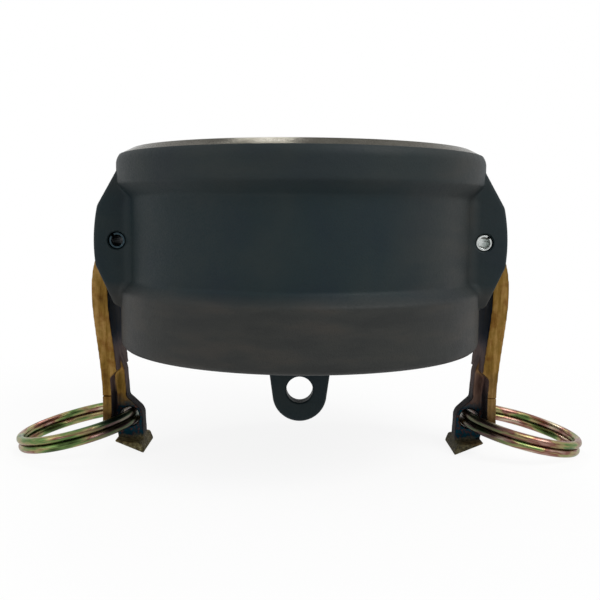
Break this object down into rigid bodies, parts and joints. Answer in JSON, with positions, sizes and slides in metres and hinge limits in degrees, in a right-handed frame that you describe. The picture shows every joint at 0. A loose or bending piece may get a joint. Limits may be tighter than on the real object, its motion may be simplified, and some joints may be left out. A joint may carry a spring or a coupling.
{
  "type": "camlock dust cap",
  "caption": "Round cast cup that closes a cam-and-groove pipe adapter, with hinged cam handles, pull rings, a flat gasket and a chain lug.",
  "frame": {"origin": "the middle of the mouth, level with the machined rim", "axes": "+Z out of the mouth along the cup's axis, +X to the right handle, and Y along the handle pins. The cap stands mouth up on its two handle toes and rings, 113.4 mm below the origin."},
  "size_m": [0.2168, 0.136, 0.1134],
  "materials": {
    "cast_body": "dark grey coated aluminium casting with a bare machined rim",
    "gasket_rubber": "matt black moulded rubber",
    "pin_steel": "dark oiled spring steel",
    "plated_handle": "yellow chromated zinc plating on forged steel",
    "plated_ring": "rainbow chromated zinc plating on steel wire"
  },
  "bodies": {
    "shell": {"cap_body": "cast_body", "gasket": "gasket_rubber", "handle_pin_left": "pin_steel", "handle_pin_right": "pin_steel"},
    "left_handle": {"cam_handle_left": "plated_handle"},
    "right_handle": {"cam_handle_right": "plated_handle"},
    "left_ring": {"pull_ring_left": "plated_ring"},
    "right_ring": {"pull_ring_right": "plated_ring"}
  },
  "joints": [
    {"name": "left_handle_hinge", "type": "hinge", "parent": "shell", "child": "left_handle", "pos_m": [-0.0654, 0, -0.0326], "axis": [0, 1, 0], "range_deg": [0, 100]},
    {"name": "right_handle_hinge", "type": "hinge", "parent": "shell", "child": "right_handle", "pos_m": [0.0654, 0, -0.0326], "axis": [0, -1, 0], "range_deg": [0, 100]},
    {"name": "left_ring_swing", "type": "hinge", "parent": "left_handle", "child": "left_ring", "pos_m": [-0.0653, 0, -0.1006], "axis": [0, -1, 0], "range_deg": [-75, 190]},
    {"name": "right_ring_swing", "type": "hinge", "parent": "right_handle", "child": "right_ring", "pos_m": [0.0653, 0, -0.1006], "axis": [0, 1, 0], "range_deg": [-75, 190]}
  ]
}
